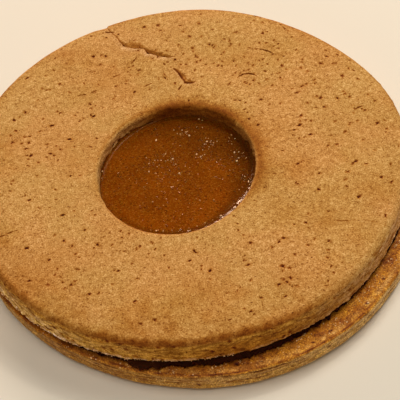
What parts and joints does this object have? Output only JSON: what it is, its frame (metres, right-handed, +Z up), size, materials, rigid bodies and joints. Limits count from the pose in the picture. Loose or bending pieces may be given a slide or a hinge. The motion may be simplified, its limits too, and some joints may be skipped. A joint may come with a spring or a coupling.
{
  "type": "sable sandwich cookie",
  "caption": "Round shortbread sandwich biscuit with a window in its top disc that shows an amber jam filling, stacked slightly off centre.",
  "frame": {"origin": "on the table, under the middle of the rectangle that the stack covers", "axes": "+Z up through the stack, -Y towards the side where the lower disc shows"},
  "size_m": [0.0972, 0.0986, 0.0136],
  "materials": {
    "baked_dough": "matt, sandy, golden baked shortbread",
    "baked_dough_underside": "matt, gritty, browner tray side of the shortbread",
    "amber_jam": "glossy, set, see-through amber jam"
  },
  "bodies": {
    "root": {"upper_biscuit": "baked_dough", "jam_filling": "amber_jam", "lower_biscuit": "baked_dough_underside"}
  },
  "joints": []
}
